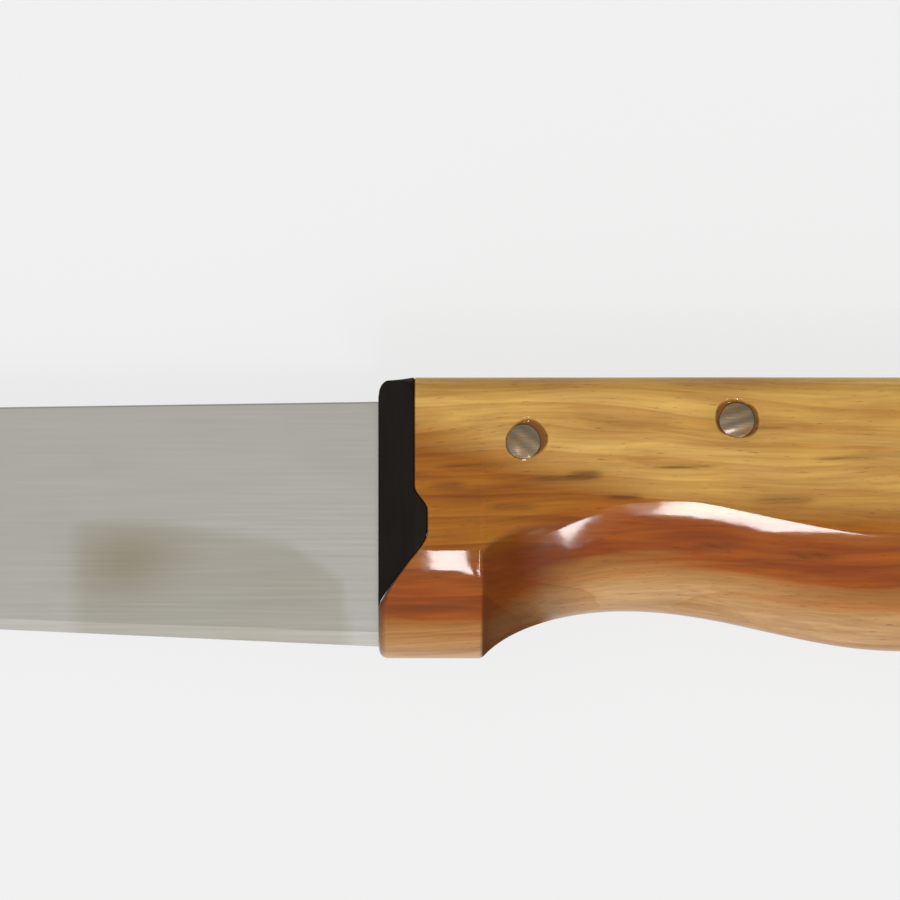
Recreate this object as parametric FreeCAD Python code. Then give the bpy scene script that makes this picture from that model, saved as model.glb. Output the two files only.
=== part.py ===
"""A fixed-blade grafting knife, lying on its side. Lengths are in millimetres.

Stock removal blade with a half tang, one-piece varnished wood handle, black bolster.
The tang drops into a saw kerf that is open along the handle's spine. Two aluminium
rods, peened at both ends, pin it there, and a strip of filler closes the kerf above it.
Nothing on the knife moves.

The knife is drawn in its own bench coordinates, and moved to the row frame on export:
  x  0 at the bolster's front face, + towards the butt, - towards the tip
  y  0 at the handle's spine, - towards the cutting edge
  z  0 in the blade's middle plane, + and - towards the two sides
The row frame has the same directions, and its origin under the middle of the knife.
"""
import FreeCAD
import Part

import math
import os

Vector = FreeCAD.Vector

# Blade: where it leaves the bolster, and how it tapers
BLADE_LENGTH = 100.0        # bolster to tip
BLADE_THICKNESS = 2.0       # at the tang and at the spine's heel
HEEL_HEIGHT = 24.8          # spine to edge where the blade meets the bolster
SPINE_STEP = 2.4            # the handle's spine stands this far above the blade's
SPINE_FALL = 0.84           # degrees that the spine falls towards the tip
EDGE_RISE = 2.6             # degrees that the edge rises towards the tip
SPINE_STRAIGHT = 66.0       # straight length of the spine, then an arc to the tip
EDGE_STRAIGHT = 60.0        # straight length of the edge, then an arc to the tip
TIP_DEPTH = 10.5            # tip below the handle's spine
EDGE_SHOULDER = 0.71        # thickness behind the edge bevel, at the heel
TIP_SHOULDER = 0.86         # thickness behind the edge bevel, at the tip
EDGE_ANGLE = 15.0           # degrees of each edge bevel, from the middle plane

# Half tang: a flat tapering tongue along the handle's spine
TANG_LENGTH = 46.0
TANG_TOP = 3.4              # below the handle's spine, at the bolster
TANG_BOTTOM = 12.5
TAIL_TOP = 0.8              # below the handle's spine, from the rear pin to the tail
TAIL_BOTTOM = 6.6           # below the handle's spine, at the tail
TAIL_CHAMFER = 1.6

# Handle
HANDLE_LENGTH = 110.0       # bolster's front face to butt
HANDLE_THICKNESS = 18.0
GUARD_WIDTH = 10.4          # the finger guard's length along the handle
GUARD_DEPTH = 28.4          # handle's height at the guard
GROOVE_X = 24.8             # finger groove, where the handle is narrowest
GROOVE_DEPTH = 23.65
PALM_X = 53.0               # palm swell
PALM_DEPTH = 27.7
WAIST_FROM_BUTT = 30.0      # little finger's hollow
WAIST_DEPTH = 25.7
BEAK_DEPTH = 29.0           # the butt's beak, the lowest point
UNDERSIDE_HEIGHT = 11.2     # the rounded underside, from the flat sides to the bottom
UNDERSIDE_CREASE = 0.15     # how far its oval is wider than the sides, which leaves an edge
SPINE_RADIUS = 2.0
FRONT_RADIUS = 1.0          # rounding of the front face's rim, on wood and bolster alike
BUTT_CENTRE = 13.0          # butt face's centre below the spine
SPINE_RUN = 15.0            # length over which the spine curves into the butt
BEAK_RUN = 7.0              # the same for the underside
SIDE_RUN = 9.0              # and for the two sides
OVAL_REACH = 0.93           # how far round a quarter oval the groove and the butt's corners go

# Bolster: a block with sloping cheeks between the blade's heel and the wood
BOLSTER_LENGTH = 3.6        # along the spine
BOLSTER_SWELL = 1.3         # how much longer it is above the guard
SWELL_TOP = 12.0            # below the spine, where the swell starts
SWELL_BOTTOM = 16.1
SWELL_EASE = 1.5            # height of the curve that leads into the swell
BOLSTER_DEPTH = 23.0        # its lower point, at the front face
CHEEK_DEPTH = 3.4           # how much each cheek narrows towards the blade

# Pins: peened aluminium rod, set half way down the tang, and the torn recess round each head
FRONT_PIN_X = 14.5
REAR_PIN_FROM_TAIL = 10.1
PIN_RADIUS = 1.6
PIN_HEAD_SPREAD = 0.25      # how far peening spreads the head beyond the rod
PIN_HEAD_HEIGHT = 0.5
PIN_HEAD_SINK = 0.06        # the head's crown below the wood's surface
PIN_HEAD_CROWN = 0.14
RECESS_MARGIN = 0.45        # how far the recess is wider than the head
RECESS_DEPTH = 0.7
FRONT_RECESS_OFFSET = (0.24, 0.22)      # the recess's centre from the pin's, in x and y
REAR_RECESS_OFFSET = (-0.2, 0.1)

# Fits
TANG_CLEARANCE = 0.05       # each side of the tang, in the kerf and in the bolster
GLUE_GAP = 0.02             # faces that are glued to each other
PIN_CLEARANCE = 0.04
FLAT_TRIM = 0.02            # taken off the lofted sides and spine, so that they are true planes

STATION_STEP = 4.0          # nearest spacing of the handle's cross-sections
BEAK_STATIONS = 7
OVAL_POINTS = 15
FAR = 400.0                 # longer than anything here

SIDE = HANDLE_THICKNESS / 2
WAIST_X = HANDLE_LENGTH - WAIST_FROM_BUTT
BEAK_X = HANDLE_LENGTH - BEAK_RUN
REAR_PIN_X = TANG_LENGTH - REAR_PIN_FROM_TAIL
PIN_HEAD_RADIUS = PIN_RADIUS + PIN_HEAD_SPREAD
RECESS_RADIUS = PIN_HEAD_RADIUS + RECESS_MARGIN
LOWEST = max(GUARD_DEPTH, PALM_DEPTH, BEAK_DEPTH, HEEL_HEIGHT + SPINE_STEP)
TO_FRAME = Vector((BLADE_LENGTH - HANDLE_LENGTH) / 2, LOWEST / 2, SIDE)


def prism(wire, low, high):
    """The outline of a wire in the xy plane, from z = low to z = high."""
    face = Part.Face(wire)
    face.translate(Vector(0, 0, low))
    return face.extrude(Vector(0, 0, high - low))


def polygon(points):
    corners = [Vector(x, y, 0) for x, y in points]
    return Part.makePolygon(corners + corners[:1])


def cylinder(x, y, low, high, radius):
    return Part.makeCylinder(radius, high - low, Vector(x, y, low), Vector(0, 0, 1))


# Blade

SPINE_START = Vector(0, -SPINE_STEP, 0)
EDGE_START = Vector(0, -SPINE_STEP - HEEL_HEIGHT, 0)
TIP = Vector(-BLADE_LENGTH, -TIP_DEPTH, 0)


def toward_tip(start, degrees, length):
    """The point that a straight run reaches, and the run's direction."""
    direction = Vector(-math.cos(math.radians(degrees)), math.sin(math.radians(degrees)), 0)
    return start + direction * length, direction


def tangent_arc(start, direction, end):
    """Centre, radius and middle point of the arc that leaves start along direction and ends at end."""
    chord = end - start
    across = Vector(-direction.y, direction.x, 0)
    radius = chord.Length ** 2 / (2 * chord.dot(across))
    centre = start + across * radius
    bisector = (start + end) * 0.5 - centre
    return centre, abs(radius), centre + bisector.normalize() * abs(radius)


def blade_outline(spine_end, edge_end, spine_middle, edge_middle):
    return Part.Wire([
        Part.makeLine(SPINE_START, spine_end),
        Part.Arc(spine_end, spine_middle, TIP).toShape(),
        Part.Arc(TIP, edge_middle, edge_end).toShape(),
        Part.makeLine(edge_end, EDGE_START),
        Part.makeLine(EDGE_START, SPINE_START),
    ])


def flat_grind():
    """Two planes from the full thickness at the spine's heel to the shoulders at the heel and tip."""
    half = BLADE_THICKNESS / 2
    heel_loss = half - EDGE_SHOULDER / 2
    tip_loss = half - TIP_SHOULDER / 2
    per_y = heel_loss / HEEL_HEIGHT
    per_x = (tip_loss - per_y * (TIP_DEPTH - SPINE_STEP)) / BLADE_LENGTH

    def half_thickness(x, y):
        return half + per_x * x + per_y * (y + SPINE_STEP)

    corners = [(0, 0), (-FAR, 0), (-FAR, -FAR), (0, -FAR)]
    above = [Vector(x, y, half_thickness(x, y)) for x, y in corners]
    block = Part.Face(Part.makePolygon(above + above[:1])).extrude(Vector(0, 0, FAR))
    return block.fuse(block.mirror(Vector(0, 0, 0), Vector(0, 0, 1)))


def edge_bevels(edge_end, direction, arc_centre, arc_radius):
    """What the bevels leave: a wedge along the straight edge, and two cones where it curves."""
    slope = math.tan(math.radians(EDGE_ANGLE))
    inward = Vector(direction.y, -direction.x, 0)
    behind = edge_end - direction * FAR
    wedge = Part.Face(Part.makePolygon([
        behind,
        behind + inward * FAR + Vector(0, 0, FAR * slope),
        behind + inward * FAR - Vector(0, 0, FAR * slope),
        behind,
    ])).extrude(direction * FAR)
    peak = arc_radius * slope
    cone = Part.makeCone(arc_radius, 0, peak, arc_centre, Vector(0, 0, 1))
    cones = cone.fuse(cone.mirror(arc_centre, Vector(0, 0, 1)))
    ahead = Part.makeBox(FAR, FAR, FAR, Vector(0, -FAR / 2, -FAR / 2))
    ahead.rotate(Vector(0, 0, 0), Vector(0, 0, 1), math.degrees(math.atan2(direction.y, direction.x)))
    ahead.translate(edge_end)
    return wedge, cones, ahead


def tang_top(x):
    """Depth of the tang's upper side: it rises from the bolster to the rear pin, then runs level."""
    return TANG_TOP + (TAIL_TOP - TANG_TOP) * min(1, x / REAR_PIN_X)


def tang_bottom(x):
    return TANG_BOTTOM + (TAIL_BOTTOM - TANG_BOTTOM) * x / TANG_LENGTH


def tang_outline(grow=0.0):
    """The tang's side view from the blade's heel to the tail, grown by a clearance."""
    tail = TANG_LENGTH + grow
    chamfer_x = tail - TAIL_CHAMFER
    return [
        (0, -tang_bottom(0) - grow),
        (chamfer_x, -tang_bottom(chamfer_x) - grow),
        (tail, -TAIL_BOTTOM + TAIL_CHAMFER),
        (tail, -TAIL_TOP - TAIL_CHAMFER),
        (chamfer_x, -TAIL_TOP + grow),
        (REAR_PIN_X, -TAIL_TOP + grow),
        (0, -TANG_TOP + grow),
    ]


def pin_centre(x):
    return Vector(x, -(tang_top(x) + tang_bottom(x)) / 2, 0)


# name: (centre, recess offset)
PINS = {
    "front_pin": (pin_centre(FRONT_PIN_X), FRONT_RECESS_OFFSET),
    "rear_pin": (pin_centre(REAR_PIN_X), REAR_RECESS_OFFSET),
}


def pin_holes(radius):
    return [cylinder(centre.x, centre.y, -FAR, FAR, radius) for centre, _ in PINS.values()]


def blade():
    spine_end, spine_way = toward_tip(SPINE_START, -SPINE_FALL, SPINE_STRAIGHT)
    edge_end, edge_way = toward_tip(EDGE_START, EDGE_RISE, EDGE_STRAIGHT)
    _, _, spine_middle = tangent_arc(spine_end, spine_way, TIP)
    edge_centre, edge_radius, edge_middle = tangent_arc(edge_end, edge_way, TIP)
    outline = blade_outline(spine_end, edge_end, spine_middle, edge_middle)
    half = BLADE_THICKNESS / 2
    blank = prism(outline, -half, half).cut(flat_grind())
    wedge, cones, ahead = edge_bevels(edge_end, edge_way, edge_centre, edge_radius)
    straight = blank.cut(ahead).common(wedge)
    curved = blank.common(ahead).common(cones)
    tang = prism(polygon(tang_outline()), -half, half).cut(pin_holes(PIN_RADIUS + PIN_CLEARANCE))
    return straight.fuse([curved, tang]).removeSplitter()


# Handle

def blend(low_x, low, high_x, high, x):
    """A half cosine from low at low_x to high at high_x, level at both ends."""
    share = (x - low_x) / (high_x - low_x)
    return low + (high - low) * (1 - math.cos(math.pi * share)) / 2


def quarter_oval(share):
    """0 and level at share 0, and ever steeper towards share 1, as the end of an oval is."""
    return 1 - math.sqrt(1 - (OVAL_REACH * share) ** 2)


def underside_depth(x):
    """Depth of the handle's lower outline: guard, finger groove, palm swell, waist and beak."""
    if x <= GUARD_WIDTH:
        return GUARD_DEPTH
    if x <= GROOVE_X:
        share = (GROOVE_X - x) / (GROOVE_X - GUARD_WIDTH)
        return GROOVE_DEPTH + (GUARD_DEPTH - GROOVE_DEPTH) * quarter_oval(share) / quarter_oval(1)
    if x <= PALM_X:
        return blend(GROOVE_X, GROOVE_DEPTH, PALM_X, PALM_DEPTH, x)
    if x <= WAIST_X:
        return blend(PALM_X, PALM_DEPTH, WAIST_X, WAIST_DEPTH, x)
    if x <= BEAK_X:
        return blend(WAIST_X, WAIST_DEPTH, BEAK_X, BEAK_DEPTH, x)
    return BEAK_DEPTH


def rounding(x, run):
    """0 along the handle, rising as a quarter oval over the last run before the butt."""
    return quarter_oval(max(0.0, (x - (HANDLE_LENGTH - run)) / run))


def section(x):
    """The handle's outline across its length: round spine corners, flat sides and an oval underside."""
    spine_round, beak_round = rounding(x, SPINE_RUN), rounding(x, BEAK_RUN)
    top = FLAT_TRIM - (BUTT_CENTRE + FLAT_TRIM) * spine_round
    bottom = -underside_depth(x) + (underside_depth(x) - BUTT_CENTRE) * beak_round
    side = (SIDE + FLAT_TRIM) * (1 - rounding(x, SIDE_RUN))
    corner = SPINE_RADIUS * (1 - spine_round)
    oval_side = side * (1 + UNDERSIDE_CREASE / SIDE)
    reach = math.asin(side / oval_side)
    oval_height = UNDERSIDE_HEIGHT * (1 - beak_round) / (1 - math.cos(reach))
    centre = bottom + oval_height
    angles = [reach * (2 * i / (OVAL_POINTS - 1) - 1) for i in range(OVAL_POINTS)]
    oval = [Vector(x, centre - oval_height * math.cos(a), oval_side * math.sin(a)) for a in angles]
    curve = Part.BSplineCurve()
    curve.interpolate(oval)
    bulge = corner * (1 - math.sqrt(0.5))

    def corner_points(hand):
        """Start, middle and end of the spine's rounded corner on one side."""
        return (
            Vector(x, top - corner, hand * side),
            Vector(x, top - bulge, hand * (side - bulge)),
            Vector(x, top, hand * (side - corner)),
        )

    near, far = corner_points(1), corner_points(-1)
    return Part.Wire([
        curve.toShape(),
        Part.makeLine(oval[-1], near[0]),
        Part.Arc(*near).toShape(),
        Part.makeLine(near[2], far[2]),
        Part.Arc(*reversed(far)).toShape(),
        Part.makeLine(far[0], oval[0]),
    ])


def stations():
    """Where the loft's cross-sections stand: at each turning point of the outline, and evenly between."""
    knots = sorted({GUARD_WIDTH, GROOVE_X, PALM_X, WAIST_X, HANDLE_LENGTH - SPINE_RUN, BEAK_X})
    places = []
    for start, end in zip(knots, knots[1:]):
        count = math.ceil((end - start) / STATION_STEP)
        places += [start + (end - start) * i / count for i in range(count)]
    closing = [math.sin(math.pi / 2 * i / BEAK_STATIONS) for i in range(BEAK_STATIONS + 1)]
    return places + [BEAK_X + BEAK_RUN * share for share in closing]


def handle_body():
    """The whole handle before the bolster, kerf and holes are taken out of it."""
    guard = Part.Face(section(0)).extrude(Vector(GUARD_WIDTH, 0, 0))
    rim = [e for e in guard.Edges if e.BoundBox.XMax < FRONT_RADIUS / 2]
    guard = guard.makeFillet(FRONT_RADIUS, rim)
    grip = Part.makeLoft([section(x) for x in stations()], True, False)
    slab = Part.makeBox(FAR, FAR, HANDLE_THICKNESS, Vector(-FAR / 2, -FAR, -SIDE))
    return guard.fuse(grip).common(slab)


def bolster_region(gap=0.0):
    """Side view of the bolster: its joint with the wood, moved back by gap."""
    joint = BOLSTER_LENGTH + gap
    swell = joint + BOLSTER_SWELL
    ease_top = Vector(joint, -SWELL_TOP + SWELL_EASE / 2, 0)
    ease_end = Vector(swell, -SWELL_TOP - SWELL_EASE / 2, 0)
    ease = Part.BezierCurve()
    ease.setPoles([
        ease_top,
        ease_top - Vector(0, SWELL_EASE / 2, 0),
        ease_end + Vector(0, SWELL_EASE / 2, 0),
        ease_end,
    ])
    below = Vector(swell, -SWELL_BOTTOM, 0)
    point = Vector(0, -BOLSTER_DEPTH - gap, 0)
    return Part.Wire([
        Part.makeLine(Vector(joint, FAR, 0), ease_top),
        ease.toShape(),
        Part.makeLine(ease_end, below),
        Part.makeLine(below, point),
        Part.makeLine(point, Vector(-FAR, point.y, 0)),
        Part.makeLine(Vector(-FAR, point.y, 0), Vector(-FAR, FAR, 0)),
        Part.makeLine(Vector(-FAR, FAR, 0), Vector(joint, FAR, 0)),
    ])


def kerf(grow):
    """The saw kerf: the tang's side view, open upwards to the spine."""
    half = BLADE_THICKNESS / 2 + grow
    below_tail = tang_outline(grow)[:3]
    return prism(polygon(below_tail + [(TANG_LENGTH + grow, FAR), (0, FAR)]), -half, half)


def bolster(body):
    block = body.common(prism(bolster_region(), -FAR, FAR))
    front = SIDE - CHEEK_DEPTH
    cheek = Part.Face(polygon([
        (0, front), (BOLSTER_LENGTH, SIDE), (BOLSTER_LENGTH, FAR), (-FAR, FAR), (-FAR, front),
    ]))
    cheek.rotate(Vector(0, 0, 0), Vector(1, 0, 0), 90)
    cheek.translate(Vector(0, FAR, 0))
    cheek = cheek.extrude(Vector(0, -2 * FAR, 0))
    block = block.cut([cheek, cheek.mirror(Vector(0, 0, 0), Vector(0, 0, 1))])
    half = BLADE_THICKNESS / 2 + TANG_CLEARANCE
    slot = prism(polygon(tang_outline(TANG_CLEARANCE)), -half, half)
    return block.cut(slot)


def handle(body):
    wood = body.cut(prism(bolster_region(GLUE_GAP), -FAR, FAR))
    wood = wood.cut([kerf(TANG_CLEARANCE)] + pin_holes(PIN_RADIUS + PIN_CLEARANCE))
    recesses = []
    floor = SIDE - RECESS_DEPTH
    for centre, offset in PINS.values():
        for low, high in ((-FAR, -floor), (floor, FAR)):
            recesses.append(cylinder(centre.x + offset[0], centre.y + offset[1], low, high, RECESS_RADIUS))
    return wood.cut(recesses)


def kerf_filler(body):
    """The strip that closes the kerf above the tang and behind its tail."""
    half = BLADE_THICKNESS / 2 + TANG_CLEARANCE - GLUE_GAP
    start = BOLSTER_LENGTH + 2 * GLUE_GAP
    end = TANG_LENGTH + TANG_CLEARANCE - GLUE_GAP
    strip = prism(polygon([(start, -TANG_TOP), (end, -TANG_TOP), (end, FAR), (start, FAR)]), -half, half)
    above_tang = polygon([
        (0, -TANG_TOP + TANG_CLEARANCE),
        (REAR_PIN_X, -TAIL_TOP + TANG_CLEARANCE),
        (FAR, -TAIL_TOP + TANG_CLEARANCE),
        (FAR, FAR),
        (0, FAR),
    ])
    return body.common(strip).common(prism(above_tang, -FAR, FAR))


def pin(centre):
    """One rod through wood and tang, with a low crowned head at each side."""
    crown = SIDE - PIN_HEAD_SINK
    rim = crown - PIN_HEAD_CROWN
    neck = crown - PIN_HEAD_HEIGHT
    radius = (PIN_HEAD_RADIUS ** 2 + PIN_HEAD_CROWN ** 2) / (2 * PIN_HEAD_CROWN)
    lean = math.asin(PIN_HEAD_RADIUS / radius) / 2
    middle = Vector(radius * math.sin(lean), 0, crown - radius * (1 - math.cos(lean)))
    profile = [(0, 0), (PIN_RADIUS, 0), (PIN_RADIUS, neck), (PIN_HEAD_RADIUS, neck), (PIN_HEAD_RADIUS, rim)]
    corners = [Vector(r, 0, z) for r, z in profile]
    top = Vector(0, 0, crown)
    edges = [Part.makeLine(start, end) for start, end in zip(corners, corners[1:])]
    edges += [Part.Arc(corners[-1], middle, top).toShape(), Part.makeLine(top, corners[0])]
    half = Part.Face(Part.Wire(edges)).revolve(Vector(0, 0, 0), Vector(0, 0, 1), 360)
    whole = half.fuse(half.mirror(Vector(0, 0, 0), Vector(0, 0, 1))).removeSplitter()
    whole.translate(centre)
    return whole


def export(name, shape):
    shape = shape.copy()
    shape.translate(TO_FRAME)
    solids = shape.Solids
    if not shape.isValid() or len(solids) != 1:
        raise SystemExit(f"{name}: valid {shape.isValid()}, {len(solids)} solids")
    solids[0].exportStep(f"parts/{name}.step")
    box = solids[0].BoundBox
    print(f"{name}: {solids[0].Volume:.1f} mm3, {box.XLength:.2f} x {box.YLength:.2f} x {box.ZLength:.2f}")


os.makedirs("parts", exist_ok=True)
whole_handle = handle_body()
export("blade", blade())
export("bolster", bolster(whole_handle))
export("handle", handle(whole_handle))
export("kerf_filler", kerf_filler(whole_handle))
for pin_name, (pin_place, _) in PINS.items():
    export(pin_name, pin(pin_place))
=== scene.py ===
"""The finish of a fixed-blade grafting knife: ground steel, black resin, varnished wood, aluminium pins."""

import math

import bmesh
import bpy
import mathutils
import numpy as np
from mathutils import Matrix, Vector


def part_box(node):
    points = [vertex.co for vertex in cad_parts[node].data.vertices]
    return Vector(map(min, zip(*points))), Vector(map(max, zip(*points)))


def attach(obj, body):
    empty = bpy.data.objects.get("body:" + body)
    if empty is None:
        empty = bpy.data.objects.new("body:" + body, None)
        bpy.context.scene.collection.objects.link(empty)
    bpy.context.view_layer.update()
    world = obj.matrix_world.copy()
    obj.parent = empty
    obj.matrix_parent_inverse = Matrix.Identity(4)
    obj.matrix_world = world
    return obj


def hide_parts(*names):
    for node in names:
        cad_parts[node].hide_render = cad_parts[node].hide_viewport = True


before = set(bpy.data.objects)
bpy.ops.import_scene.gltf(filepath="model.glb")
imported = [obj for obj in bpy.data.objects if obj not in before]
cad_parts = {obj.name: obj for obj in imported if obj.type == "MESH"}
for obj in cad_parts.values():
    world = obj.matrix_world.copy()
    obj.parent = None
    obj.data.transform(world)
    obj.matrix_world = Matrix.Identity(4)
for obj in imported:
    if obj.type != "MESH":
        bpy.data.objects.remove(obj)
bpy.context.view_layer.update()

# ---------------------------------------------------------------------------------------------
# Blade. One piece of carbon steel, 2 mm thick, ground thin from spine to edge on both sides,
# buffed to a satin, with a narrow honed bevel along the edge. Behind its heel a half tang runs
# into the handle, where the pins hold it.
# ---------------------------------------------------------------------------------------------

# The knife's own coordinates are in millimetres: x from the bolster's front face towards the
# butt, y down from the handle's spine (negative), z from the blade's middle plane.
MM = 0.001
heel_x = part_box("bolster")[0].x
spine_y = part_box("handle")[1].y
middle_z = (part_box("handle")[0].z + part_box("handle")[1].z) / 2


def to_frame(points):
    """Points in the knife's millimetres, as metres in the frame."""
    return points * MM + np.array([heel_x, spine_y, middle_z])


def linear(hex_colour):
    """An sRGB hex colour as linear RGB with full alpha."""
    srgb = np.array([int(hex_colour[i:i + 2], 16) for i in (1, 3, 5)]) / 255
    return (*np.where(srgb <= 0.04045, srgb / 12.92, ((srgb + 0.055) / 1.055) ** 2.4), 1.0)


def add(tree, kind, inputs, **settings):
    """Adds a node: settings are its properties, and inputs gives each socket a value or a link."""
    made = tree.nodes.new(kind)
    for name, value in settings.items():
        setattr(made, name, value)
    for socket, value in inputs.items():
        if isinstance(value, bpy.types.NodeSocket):
            tree.links.new(value, made.inputs[socket])
        else:
            made.inputs[socket].default_value = value
    return made


def steps(*stretches):
    """Values along a line. Each stretch is (start, end, spacing) and starts where the last one ended."""
    parts = [np.linspace(a, b, max(1, round(abs(b - a) / gap)), endpoint=False) for a, b, gap in stretches]
    return np.concatenate(parts + [[stretches[-1][1]]])


def smooth_step(low, high, value):
    """0 below low, 1 above high, and an S-curve between them."""
    share = np.clip((value - low) / (high - low), 0, 1)
    return share * share * (3 - 2 * share)


def ring_faces(rows, columns):
    """Quads between neighbouring rows of a grid whose columns close into a ring."""
    row, column = np.meshgrid(np.arange(rows - 1), np.arange(columns), indexing="ij")
    after = (column + 1) % columns
    return np.stack([
        row * columns + column, row * columns + after,
        (row + 1) * columns + after, (row + 1) * columns + column,
    ], axis=-1).reshape(-1, 4)


def ladder_faces(first, columns):
    """Quads that close a ring by joining its two mirrored halves, starting at vertex number first."""
    near = np.arange(columns // 2 + 1)
    far = (-near) % columns
    return first + np.stack([near[:-1], near[1:], far[1:], far[:-1]], axis=-1)


def add_piece(name, points, faces, attributes=None, crisp=38):
    """A closed, outward-facing, smooth mesh object from points in the knife's millimetres.

    A face that names a corner twice becomes a triangle. Faces round a negative volume are turned
    over. Edges that turn by more than crisp degrees are left sharp."""
    mesh = bpy.data.meshes.new(name)
    corners = [list(dict.fromkeys(face)) for face in faces.tolist()]
    mesh.from_pydata(to_frame(points.reshape(-1, 3)).tolist(), [], corners)
    for label, values in (attributes or {}).items():
        layer = mesh.attributes.new(label, "FLOAT", "POINT")
        layer.data.foreach_set("value", values.reshape(-1).astype(np.float32))
    shell = bmesh.new()
    shell.from_mesh(mesh)
    bmesh.ops.remove_doubles(shell, verts=shell.verts, dist=1e-7)
    bmesh.ops.recalc_face_normals(shell, faces=shell.faces)
    if shell.calc_volume(signed=True) < 0:
        bmesh.ops.reverse_faces(shell, faces=shell.faces)
    shell.to_mesh(mesh)
    shell.free()
    mesh.shade_smooth()
    mesh.set_sharp_from_angle(angle=math.radians(crisp))
    piece = bpy.data.objects.new(name, mesh)
    bpy.context.scene.collection.objects.link(piece)
    return piece


BLADE_LENGTH = -(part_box("blade")[0].x - heel_x) / MM
TANG_LENGTH = (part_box("blade")[1].x - heel_x) / MM
BLADE_HALF = (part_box("blade")[1].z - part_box("blade")[0].z) / MM / 2
SPINE_STEP = 2.4
SPINE_FALL, SPINE_STRAIGHT = 0.84, 66.0     # degrees, and mm before the curve to the tip
HEEL_EDGE = 27.2
EDGE_RISE, EDGE_STRAIGHT = 2.6, 60.0
TIP = np.array([-BLADE_LENGTH, -10.5])
SHOULDER_HALF = (0.355, 0.43)       # half the grind's thickness at the edge, at the heel and at the tip
BEVEL_SLOPE = math.tan(math.radians(15))
SPINE_CORNER = 0.22
CORNER_SHARE = 0.011        # of the blade's height, over which points crowd round the spine's corner
TIP_ROWS = 6.0              # the length at the tip where the rows stand closest
TANG_TOP, TANG_TOP_RISE = -3.4, 2.6
TANG_TOP_RUN = TANG_LENGTH - 10.1
TANG_BOTTOM, TANG_BOTTOM_RISE = -12.5, 5.9
TANG_CORNER = 0.3


def blade_side(x, start_y, degrees, straight):
    """y of one long side: a straight run from the heel, then the arc tangent to it that meets the tip."""
    along = np.array([-math.cos(math.radians(degrees)), math.sin(math.radians(degrees))])
    bend = np.array([0, start_y]) + along * straight
    across = np.array([-along[1], along[0]])
    chord = TIP - bend
    radius = chord @ chord / (2 * (chord @ across))
    centre = bend + across * radius
    reach = np.sqrt(np.maximum(radius ** 2 - (x - centre[0]) ** 2, 0))
    arc = centre[1] - np.sign(across[1] * radius) * reach
    return np.where(x > bend[0], start_y - x * math.tan(math.radians(degrees)), arc)


def ground_half(x, y):
    """Half the flat grind's thickness: the plane through the spine's heel and the two shoulders."""
    per_y = (BLADE_HALF - SHOULDER_HALF[0]) / (HEEL_EDGE - SPINE_STEP)
    per_x = (BLADE_HALF - SHOULDER_HALF[1] + per_y * (TIP[1] + SPINE_STEP)) / BLADE_LENGTH
    return BLADE_HALF + per_x * x + per_y * (y + SPINE_STEP)


def blade_section(x, top, bottom, shoulder_half, spine_half):
    """Half outlines across the blade, one row per x, from the spine's middle down to the edge.

    Half thickness = the lesser of the bevel (height above the edge times its slope) and the flat
    grind (a straight line from the bevel's shoulder to the spine), with a quarter circle at the
    spine's corner. One column of points lies on the line where bevel and grind meet."""
    height = top - bottom
    shoulder = shoulder_half / np.maximum(height * BEVEL_SLOPE - spine_half + shoulder_half, 1e-6)
    shoulder = np.clip(shoulder, 0, 0.9)
    spine = 1 - CORNER_SHARE * (1 - np.cos(np.linspace(0, np.pi / 2, 7)))
    down = np.linspace(0, 1, 40)[1:]
    bevel = shoulder * (1 - np.linspace(0, 1, 9)[1:])
    share = np.concatenate([spine + 0 * height, spine[-1] + (shoulder - spine[-1]) * down, bevel], axis=1)
    above = share * height
    half = np.minimum(above * BEVEL_SLOPE, shoulder_half + (spine_half - shoulder_half) * share)
    drop = np.clip(SPINE_CORNER - (height - above), 0, SPINE_CORNER)
    half = half - (SPINE_CORNER - np.sqrt(SPINE_CORNER ** 2 - drop ** 2)) * np.minimum(1, height / 4)
    half = np.maximum(half, 0)
    half[:, -1] = 0
    middle = np.stack([x + 0 * above, bottom + above, half], axis=-1)
    crown = middle[:, :1].copy()
    crown[..., 2] = 0
    return np.concatenate([crown, middle], axis=1)


def mirrored(half):
    """Closes half outlines into rings by mirroring them in z. The first and last columns lie at z = 0."""
    back = half[:, -2:0:-1].copy()
    back[..., 2] *= -1
    return np.concatenate([half, back], axis=1)


blade_x = steps(
    (-BLADE_LENGTH, -BLADE_LENGTH + TIP_ROWS, 0.15), (-BLADE_LENGTH + TIP_ROWS, -40, 0.6), (-40, 0, 0.8),
)[:, None]
blade_top = blade_side(blade_x, -SPINE_STEP, -SPINE_FALL, SPINE_STRAIGHT)
blade_bottom = blade_side(blade_x, -HEEL_EDGE, EDGE_RISE, EDGE_STRAIGHT)
blade_bottom = np.minimum(blade_bottom, blade_top)
blade_shoulder = ground_half(blade_x, blade_bottom)
blade_spine = ground_half(blade_x, blade_top)
# The belt left the grind uneven by a hundredth of a millimetre, over 30 to 80 mm.
ripple = 0.012 * np.sin(blade_x / 5.3) * np.sin(blade_x / 13.1 + 1)
blade_half = blade_section(blade_x, blade_top, blade_bottom, blade_shoulder + ripple, blade_spine - ripple)

tang_x = steps((0, TANG_LENGTH, 2.0))[:, None]
tang_top = TANG_TOP + TANG_TOP_RISE * np.minimum(1, tang_x / TANG_TOP_RUN)
tang_bottom = TANG_BOTTOM + TANG_BOTTOM_RISE * tang_x / TANG_LENGTH
tang_half = blade_section(tang_x, tang_top, tang_bottom, np.full_like(tang_x, BLADE_HALF), BLADE_HALF)
squared = np.minimum(1, (tang_half[..., 1] - tang_bottom) / TANG_CORNER)
tang_half[..., 2] = BLADE_HALF * squared
tang_half[:, 0, 2] = 0

blade_points = mirrored(np.concatenate([blade_half, tang_half]))
rows, columns = blade_points.shape[:2]
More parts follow.
